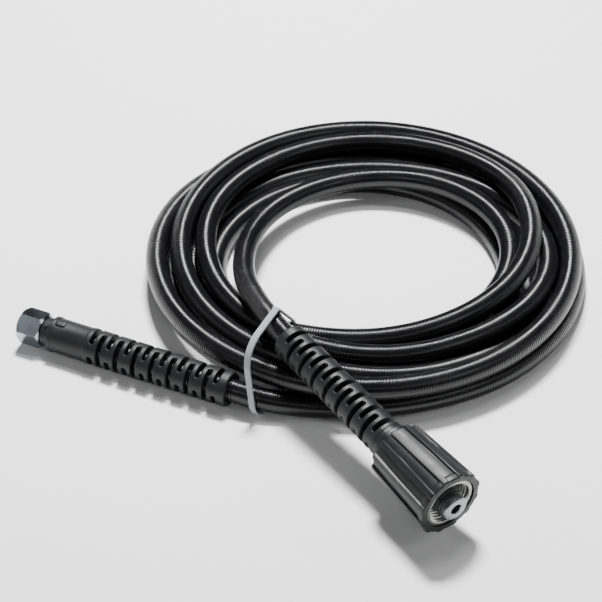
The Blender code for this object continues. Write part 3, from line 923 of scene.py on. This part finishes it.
    def floor_under(self, points: Array) -> Array:
        """Give the lowest height for the hose's middle: its radius, and a low hump over the strap.

        The hump is the strap's thickness times exp(-(distance aside of the strap / strap_hump)^2).

        Args:
            points: points of the hose.

        Returns:
            A height for each point.
        """
        off = points - COIL_CENTRE
        outward = off[:, 0] * math.cos(self.strap_angle) + off[:, 1] * math.sin(self.strap_angle)
        aside = -off[:, 0] * math.sin(self.strap_angle) + off[:, 1] * math.cos(self.strap_angle)
        hump = np.exp(-((aside - self.strap_aside(outward, 0.0)) / self.strap_hump)**2) * (outward > 0)
        return self.diameter / 2 + self.floor_gap + self.strap_lift * hump

    def strap_aside(self, outward: Array, height: Array | float) -> Array:
        """Say how far the strap lies aside of the upright plane at its angle.

        It leans by strap_lean times the depth below its top, and where it comes down inside its crest it
        slews back by strap_slew times the distance from the crest.

        Args:
            outward: distances from the coil's centre.
            height: heights above the floor.

        Returns:
            Distances aside, towards a rising angle.
        """
        return (self.strap_lean * (self.strap_top - height)
                + self.strap_slew * np.minimum(outward - self.strap_crest, 0.0))

    def crossings(self) -> Array:
        """Find where the hose passes through the sheet of space that the strap lies in.

        Returns:
            For each place, its distance from the coil's centre, its height and the radius that the hose
            takes up across the strap's width there, which grows with its slant.
        """
        outward = np.array((math.cos(self.strap_angle), math.sin(self.strap_angle), 0.0))
        normal = np.array((-outward[1], outward[0], 0.0))
        off = self.path - COIL_CENTRE
        side = off @ normal - self.strap_aside(off @ outward, off[:, 2])
        found = np.nonzero((side[:-1] * side[1:] <= 0) & (off[:-1] @ outward > 0))[0]
        share = (side[found] / (side[found] - side[found + 1]))[:, None]
        step = self.path[found + 1] - self.path[found]
        point = off[found] + share * step
        slant = np.arccos(np.clip(np.abs(step @ normal) / np.linalg.norm(step, axis=1), 0, 1))
        radius = self.diameter / 2 / np.cos(slant) + 1.75 * MM * np.tan(slant)
        return np.stack((point @ outward, point[:, 2], radius), axis=1)

    def build(self) -> bpy.types.Object:
        """Carry a circle along the path: middle + radius times (cos turn, sin turn) across its direction.

        Returns:
            The hose, closed at both ends.
        """
        path = self.path
        heading = headings(path)
        side = np.cross(heading, (0.0, 0.0, 1.0))
        side /= np.linalg.norm(side, axis=1, keepdims=True)
        up = np.cross(side, heading)
        turn = np.linspace(0.0, math.tau, self.sides + 1)[None, :, None]
        ring = np.cos(turn) * side[:, None] + np.sin(turn) * up[:, None]
        rows = np.concatenate(([0], np.arange(len(path)), [len(path) - 1]))
        radius = np.concatenate(([0.0], np.full(len(path), self.diameter / 2), [0.0]))
        points = path[rows][:, None] + radius[:, None, None] * ring[rows]
        along = distances(path)[rows]
        marks = np.stack(np.broadcast_arrays(along[:, None], turn[:, :, 0] / math.tau), axis=-1)
        shell = Shell("hose")
        shell.add(points, marks)
        hose = shell.finish(HOSE_COVER.make(), 50.0)
        return settle(hose, ("hose_coil", "hose_tail_hex_end", "hose_tail_coupling_end"))


class Tail(Enum):
    """What follows a restrictor's slotted part, in the same moulding."""

    SLEEVE = "sleeve, rim and collar of the hex end"
    NECK = "smooth neck of the coupling end"


@dataclass
class Restrictor:
    """A moulded bend restrictor: a sleeve with rows of two long slots, each row a quarter on."""

    name: str
    node: str
    axis: Axis
    tail: Tail
    phase: float = 0.0
    length: float = 83.5 * MM
    radius: float = 10.1 * MM
    taper: float = 0.4 * MM
    bore: float = 6.7 * MM
    rows: int = 15
    slot_width: float = 2.8 * MM
    end_ring: float = 5.1 * MM
    flat_half: float = math.radians(60)
    fillet: float = 0.45 * MM
    columns: int = 48

    @property
    def pitch(self) -> float:
        """Distance from one row of slots to the next."""
        return (self.length - self.end_ring - self.slot_width) / (self.rows - 1)

    def wall(self, station: Array) -> Array:
        """Give the outer radius at a station: it grows evenly from the hose rim."""
        return self.radius - self.taper * (1 - np.asarray(station) / self.length)

    def cell(self) -> tuple[Array, Array, Array]:
        """Lay out one slot and the wall round it, flat.

        Columns run round the slot. Its outline is a stadium, whose ends are half circles, and the cell's is
        a rectangle of half a turn by one pitch. Rows run from the rectangle in to the stadium on the outer
        face, over a quarter-round edge, through the wall, and out to the rectangle on the inner face.

        Returns:
            Stations and turns from the slot's middle, and the share of the way through the wall.
        """
        flat = np.linspace(-1.0, 1.0, 17)
        cap = np.radians(np.linspace(75.0, -75.0, 11))
        side = np.array((1.125, 1.25, 1.375, 1.5, 1.5, 1.5, 1.5, 1.5, 1.375, 1.25, 1.125))
        rise = np.array((1.0, 1.0, 1.0, 1.0, 0.5, 0.0, -0.5, -1.0, -1.0, -1.0, -1.0))
        turn_rect = np.concatenate((flat, side, flat[::-1], -side, flat[:1])) * self.flat_half
        rise_rect = np.concatenate((np.ones(17), rise, -np.ones(17), rise[::-1], [1.0])) * self.pitch / 2
        flat_turn = np.concatenate((flat, np.ones(11), flat[::-1], -np.ones(11), flat[:1])) * self.flat_half
        cap_turn = np.concatenate((np.zeros(17), np.cos(cap), np.zeros(17), -np.cos(cap), [0.0]))
        cap_rise = np.concatenate((np.ones(17), np.sin(cap), -np.ones(17), np.sin(cap[::-1]), [1.0]))
        bend = np.radians(np.linspace(0.0, 90.0, 4))
        edge = self.fillet * (1 - np.sin(bend))
        thick = self.radius - self.bore
        sunk = self.fillet * (1 - np.cos(bend)) / thick
        blend = np.array((1.0, 0.5, *np.zeros(4), 0.0, 0.0, 1.0))[:, None]
        spread = self.slot_width / 2 + np.array((self.fillet, self.fillet, *edge, 0.0, 0.15 * MM, 0.15 * MM))
        share = np.array((0.0, 0.0, *sunk, 1 - 0.15 * MM / thick, 1.0, 1.0))[:, None]
        spread = spread[:, None]
        station = (1 - blend) * spread * cap_rise + blend * rise_rect
        turn = (1 - blend) * (flat_turn + spread * cap_turn / self.radius) + blend * turn_rect
        return station, turn, np.broadcast_to(share, station.shape)

    def tail_outline(self, start: float) -> Array:
        """Give the outline past the slots, from the outer face round to the inner one.

        Args:
            start: the station where the slotted part ends.

        Returns:
            Stations and radii, corners rounded.
        """
        outer = float(self.wall(start))
        if self.tail is Tail.NECK:
            corners = ((start, outer), (85.6, 10.12), (86.4, 9.85), (95.5, 9.85), (95.5, 6.7), (start, 6.7))
            cuts = (0.3, 0.3, 0.6, 0.2)
        else:
            corners = ((start, outer), (86.2, 10.1), (86.7, 9.7), (106.9, 9.7), (107.3, 10.1), (109.5, 10.1),
                       (109.5, 8.7), (110.3, 8.2), (114.5, 8.2), (114.5, 6.7), (start, 6.7))
            cuts = (0.3, 0.2, 0.2, 0.3, 0.4, 0.3, 0.3, 0.4, 0.2)
        scaled = [(s if s is start else s * MM, r if r is outer else r * MM) for s, r in corners]
        return softened(np.array(scaled), np.array(cuts) * MM, 3)

    def build(self) -> bpy.types.Object:
        """Weld the slotted part, the rounded hose rim and the tail.

        Returns:
            The restrictor.
        """
        station, turn, share = self.cell()
        number = np.arange(self.rows)[:, None, None, None]
        half = np.arange(2)[None, :, None, None]
        stations = self.end_ring + self.slot_width / 2 + number * self.pitch + station
        turns = self.phase + math.radians(67.5) - math.pi / 2 * (number % 2) + math.pi * half + turn
        stations = np.broadcast_to(stations, turns.shape)
        outer = self.wall(stations)
        radii = outer + (self.bore - outer) * share
        shell = Shell(self.name)
        marks = np.stack((stations, turns / math.tau), axis=-1)
        shell.add(self.axis.place(stations, radii, turns), marks)
        first = self.end_ring - (self.pitch - self.slot_width) / 2
        last = self.length + (self.pitch - self.slot_width) / 2
        rim = float(self.wall(first))
        corners = ((first, self.bore), (0.2 * MM, self.bore), (0.0, 7.5 * MM), (0.0, rim), (first, rim))
        rim_outline = softened(np.array(corners), np.array((0.5, 0.4, 1.7)) * MM, 6)
        shell.turned(self.axis, rim_outline, self.columns, self.phase)
        shell.turned(self.axis, self.tail_outline(last), self.columns, self.phase)
        if self.tail is Tail.SLEEVE:
            shell.block(self.axis, (103.9 * MM, 9.7 * MM, math.radians(84)), (3.0 * MM, 0.75 * MM, 1.8 * MM))
            shell.block(self.axis, (112.2 * MM, 8.2 * MM, math.radians(62)), (1.0 * MM, 0.7 * MM, 1.0 * MM),
                        0.7)
        return settle(shell.finish(RESTRICTOR_PLASTIC.make()), (self.node,))


@dataclass
class HexEnd:
    """The hex fitting: a chamfered hexagon with a threaded socket, and its swaged stem."""

    axis: Axis = HEX_AXIS
    back: float = 114.8 * MM
    end: float = 129.3 * MM
    stem_back: float = 87.8 * MM
    stem: float = 6.3 * MM
    flat: float = 8.9 * MM
    face: float = 8.5 * MM
    chamfer_slope: float = 0.84
    socket: float = 5.75 * MM
    thread_depth: float = 0.8 * MM
    thread_pitch: float = 1.34 * MM
    socket_depth: float = 15.0 * MM
    bore: float = 2.85 * MM
    hex_turn: float = math.radians(14)
    columns: int = 144

    def build(self) -> bpy.types.Object:
        """Weld the hexagon, the stem and the threaded socket.

        The hexagon's radius at a turn is the flat's distance over the cosine of the turn from the flat's
        middle. A ring of its edge lies where the chamfer's cone meets that radius.

        Returns:
            The fitting.
        """
        turn = np.linspace(0.0, math.tau, self.columns + 1)
        off_flat = np.mod(turn, math.pi / 3) - math.pi / 6
        across = self.flat / np.cos(off_flat)
        inset = (across - self.face) * self.chamfer_slope
        face = np.full_like(turn, self.face)
        station = np.stack((np.full_like(turn, self.back), self.back + inset, self.end - inset,
                            np.full_like(turn, self.end)))
        radius = np.stack((face, across, across, face))
        shell = Shell("hex_end")
        marks = np.stack(np.broadcast_arrays(station, turn / math.tau), axis=-1)
        shell.add(self.axis.place(station, radius, turn + self.hex_turn), marks)
        mouth = self.end - 0.9 * MM
        floor = self.end - self.socket_depth
        front = np.array(((self.end, self.face), (self.end, self.socket + 1.1 * MM), (mouth, self.socket)))
        stem = np.array(((floor, self.socket), (floor - 0.4 * MM, self.bore), (self.stem_back, self.bore),
                         (self.stem_back, self.stem), (self.back, self.stem), (self.back, self.face)))
        for outline in (front, stem):
            shell.turned(self.axis, outline, self.columns, self.hex_turn)
        shell.thread(self.axis, (floor, mouth), self.socket, self.thread_depth, self.thread_pitch,
                     self.columns, start=self.hex_turn)
        piece = shell.finish(Metal.ZINC_PLATED_STEEL.value.make(), 25.0)
        return settle(piece, ("hex_fitting",))


@dataclass
class Coupling:
    """The screw coupling: nipple with sealing ring, threaded insert and hand wheel."""

    axis: Axis = COUPLING_AXIS
    wheel_back: float = 89.5 * MM
    wheel_front: float = 137.0 * MM
    wheel_shoulder: float = 93.4 * MM
    hub_radius: float = 12.0 * MM
    back_radius: float = 15.8 * MM
    front_radius: float = 18.4 * MM
    ridges: int = 12
    ridge_half: float = 1.6 * MM
    ridge_edge: float = 0.6 * MM
    flute_depth: float = 1.25 * MM
    lip_depth: float = 0.75 * MM
    lip_length: float = 4.0 * MM
    rim_round: float = 0.8 * MM
    insert_front: float = 136.3 * MM
    insert_back: float = 115.5 * MM
    insert_radius: float = 14.0 * MM
    thread_radius: float = 10.2 * MM
    thread_depth: float = 0.82 * MM
    thread_pitch: float = 1.5 * MM
    thread_flare: tuple[float, float] = (1.7 * MM, 6.0 * MM)
    ring_station: float = 136.3 * MM
    ring_section: float = 1.96 * MM
    ring_radius: float = 6.71 * MM
    columns: int = 96
    wheel_columns: int = 480

    def build(self) -> list[bpy.types.Object]:
        """Build the coupling's four pieces.

        Returns:
            The nipple, sealing ring, insert and hand wheel.
        """
        return [self.nipple(), self.sealing_ring(), self.insert(), self.wheel()]

    def nipple(self) -> bpy.types.Object:
        """Turn the stem, flange and nose with its ring groove.

        Returns:
            The nipple.
        """
        corners = np.array(((80.5, 2.85), (80.5, 6.3), (118.8, 6.3), (118.8, 9.2), (121.8, 9.2),
                            (121.8, 6.95), (135.0, 6.95), (135.0, 5.5), (137.6, 5.5), (137.6, 6.95),
                            (140.6, 6.95), (141.2, 6.35), (141.2, 3.25), (140.8, 2.85),
                            (80.5, 2.85))) * MM
        cuts = np.array((0.3, 0.2, 0.3, 0.3, 0.2, 0.25, 0.15, 0.15, 0.25, 0.2, 0.2, 0.15, 0.2)) * MM
        shell = Shell("coupling_nipple")
        shell.turned(self.axis, softened(corners, cuts, 3), self.columns)
        return settle(shell.finish(Metal.BRIGHT_STEEL.value.make()), ("nipple",))

    def sealing_ring(self) -> bpy.types.Object:
        """Carry a circle round the nose's groove.

        Returns:
            The ring.
        """
        turn = np.linspace(0.0, math.tau, 25)
        half = self.ring_section / 2
        outline = np.stack((self.ring_station + half * np.cos(turn),
                            self.ring_radius + half * np.sin(turn)), axis=1)
        shell = Shell("sealing_ring")
        shell.turned(self.axis, outline, self.columns)
        return settle(shell.finish(SEAL_RUBBER.make(), 80.0), ("o_ring",))

    def insert(self) -> bpy.types.Object:
        """Weld the insert's outside and mouth with its helical thread.

        Returns:
            The insert, which turns with the hand wheel.
        """
        lip = self.insert_back + 3.0 * MM
        mouth = self.insert_front - 0.3 * MM
        mouth_radius = self.thread_radius + self.thread_flare[0]
        corners = np.array(((lip, self.thread_radius), (lip, 6.6 * MM), (self.insert_back, 6.6 * MM),
                            (self.insert_back, self.insert_radius), (self.insert_front, self.insert_radius),
                            (self.insert_front, mouth_radius + 0.4 * MM), (mouth, mouth_radius)))
        cuts = np.array((0.2, 0.2, 0.4, 0.35, 0.2)) * MM
        shell = Shell("coupling_insert")
        shell.turned(self.axis, softened(corners, cuts, 3), self.columns)
        shell.thread(self.axis, (lip, mouth), self.thread_radius, self.thread_depth, self.thread_pitch,
                     self.columns, self.thread_flare)
        piece = shell.finish(Metal.NICKEL_PLATED_BRASS.value.make(), 30.0)
        return settle(piece, ("threaded_insert",), "coupling_nut")

    def wheel(self) -> bpy.types.Object:
        """Weld the ridged outside with the hub, the pocket and the bore.

        The outside's radius grows evenly to the front, less the rounding of both rims and, between the
        ridges, the flute's depth, which falls to the lip's depth near the front. A ridge's share rises from
        0 to 1 as x^2 (3 - 2x) across its edge.

        Returns:
            The hand wheel.
        """
        shoulder, front = self.wheel_shoulder, self.wheel_front
        bend = np.radians(np.linspace(0.0, 90.0, 5))
        set_in = self.rim_round * (1 - np.cos(bend))
        inset = self.rim_round * (1 - np.sin(bend))
        middle = np.linspace(shoulder + self.rim_round, front - self.rim_round, 72)[1:-1]
        station = np.concatenate((shoulder + set_in, middle, front - set_in[::-1]))[:, None]
        inset = np.concatenate((inset, np.zeros(len(middle)), inset[::-1]))[:, None]
        turn = np.linspace(0.0, math.tau, self.wheel_columns + 1)[None, :]
        share = (station - self.wheel_back) / (front - self.wheel_back)
        body = self.back_radius + (self.front_radius - self.back_radius) * share
        near_front = np.clip((station - front + self.lip_length) / self.ridge_edge, 0.0, 1.0)
        depth = self.flute_depth + (self.lip_depth - self.flute_depth) * near_front
        lobe = math.tau / self.ridges
        off = np.mod(turn, lobe) - lobe / 2
        inside = (self.ridge_half + self.ridge_edge / 2 - np.abs(off) * body) / self.ridge_edge
        inside = np.clip(inside, 0.0, 1.0)
        radius = body - inset - depth * (1 - inside**2 * (3 - 2 * inside))
        pocket = self.insert_radius + 0.3 * MM
        station = np.concatenate(([[shoulder]], station, [[front]]))
        ring = np.ones_like(turn)
        radius = np.concatenate((self.hub_radius * ring, radius, (pocket + 0.35 * MM) * ring))
        shell = Shell("coupling_handwheel")
        marks = np.stack(np.broadcast_arrays(station, turn / math.tau), axis=-1)
        shell.add(self.axis.place(station, radius, turn), marks)
        floor = self.insert_back - 0.3 * MM
        back = self.wheel_back
        corners = np.array(((front, pocket + 0.35 * MM), (front, pocket), (floor, pocket), (floor, 10.7 * MM),
                            (back, 10.7 * MM), (back, self.hub_radius), (shoulder, self.hub_radius)))
        cuts = np.array((0.15, 0.2, 0.2, 0.3, 0.5)) * MM
        shell.turned(self.axis, softened(corners, cuts, 4), self.wheel_columns)
        piece = shell.finish(WHEEL_PLASTIC.make(), 40.0)
        return settle(piece, ("handwheel",), "coupling_nut")


@dataclass
class Strap:
    """The flat strap pulled round the coil and both ends of the hose."""

    width: float = 3.5 * MM
    thickness: float = 1.2 * MM
    edge: float = 0.35 * MM
    gap: float = 0.15 * MM
    step: float = 1.0 * MM
    middle: tuple[float, float] = (106.6 * MM, 20.1 * MM)
    halves: tuple[float, float] = (29.95 * MM, 20.5 * MM)
    tilt: float = 0.574

    def build(self, hose: Hose) -> bpy.types.Object:
        """Bend the strap to its oval, out past the hose's sections, and carry its section round that loop.

        The loop's point in a direction lies on the oval or the hose section that reaches furthest that way.
        The oval reaches middle.n + sqrt((a u.n)^2 + (b v.n)^2), with a and b its halves along u and v, and
        touches at middle + (a^2 (u.n) u + b^2 (v.n) v) over that root.

        Args:
            hose: the hose that it holds.

        Returns:
            The strap.
        """
        circles = hose.crossings()
        turn = np.linspace(0.0, math.tau, 1441)
        normal = np.stack((np.cos(turn), np.sin(turn)), axis=1)
        reach = circles[:, :2] @ normal.T + circles[:, 2:]
        chosen = circles[np.argmax(reach, axis=0)]
        offset = self.gap + self.thickness / 2
        cosine, sine = math.cos(self.tilt), math.sin(self.tilt)
        axes = np.array(((cosine, sine), (-sine, cosine)))
        shares = (normal @ axes.T) * self.halves
        root = np.linalg.norm(shares, axis=1, keepdims=True)
        oval = self.middle + (shares * self.halves / root) @ axes
        wider = np.sum(oval * normal, axis=1) > reach.max(axis=0)
        loop = np.where(wider[:, None], oval, chosen[:, :2] + chosen[:, 2:] * normal) + offset * normal
        loop[:, 1] = np.maximum(loop[:, 1], self.thickness / 2 + 0.05 * MM)
        loop = evenly(loop, self.step)
        ahead = np.roll(loop[:-1], -1, axis=0) - np.roll(loop[:-1], 1, axis=0)
        ahead = np.concatenate((ahead, ahead[:1]))
        ahead /= np.linalg.norm(ahead, axis=1, keepdims=True)
        outward = np.stack((ahead[:, 1], -ahead[:, 0]), axis=1)
        section, across = self.section()
        place = loop[:, None] + section[None, :, :1] * outward[:, None]
        aside = section[None, :, 1] + hose.strap_aside(place[..., 0], place[..., 1])
        angle = hose.strap_angle
        points = np.stack((COIL_CENTRE[0] + place[..., 0] * math.cos(angle) - aside * math.sin(angle),
                           COIL_CENTRE[1] + place[..., 0] * math.sin(angle) + aside * math.cos(angle),
                           place[..., 1]), axis=-1)
        marks = np.stack(np.broadcast_arrays(distances(loop)[:, None], across[None]), axis=-1)
        shell = Shell("tie_strap")
        shell.add(points, marks)
        return settle(shell.finish(STRAP_PLASTIC.make(), 60.0), ("tie",))

    def section(self) -> tuple[Array, Array]:
        """Give the strap's own section: a rectangle whose corners are quarter circles.

        Returns:
            A closed row of offsets outward and aside, and the place across the strap from 0 to 1.
        """
        corner = np.radians(np.linspace(0.0, 90.0, 4))
        quarter = np.stack((np.cos(corner), np.sin(corner)), axis=1) * self.edge
        out = self.thickness / 2 - self.edge
        side = self.width / 2 - self.edge
        signs = ((1, 1), (-1, 1), (-1, -1), (1, -1))
        parts = [((quarter if i % 2 == 0 else quarter[::-1]) + (out, side)) * sign
                 for i, sign in enumerate(signs)]
        row = np.concatenate((*parts, parts[0][:1]))
        return row, row[:, 1] / self.width + 0.5


def main() -> None:
    """Build the scene and report each piece."""
    logging.basicConfig(level=logging.INFO, format="%(name)s: %(message)s")
    Studio().build()
    hose = Hose()
    hose_piece = hose.build()
    hex_restrictor = Restrictor("restrictor_hex_end", "bend_restrictor_hex_end", HEX_AXIS, Tail.SLEEVE,
                                math.radians(47.5))
    coupling_restrictor = Restrictor("restrictor_coupling_end", "bend_restrictor_coupling_end", COUPLING_AXIS,
                                     Tail.NECK)
    hex_restrictor.build()
    HexEnd().build()
    far_pieces = [coupling_restrictor.build(), *Coupling().build()]
    Strap().build(hose)
    for item in bpy.data.objects:
        log.info("piece %s", item.name)


if __name__ == "__main__":
    main()
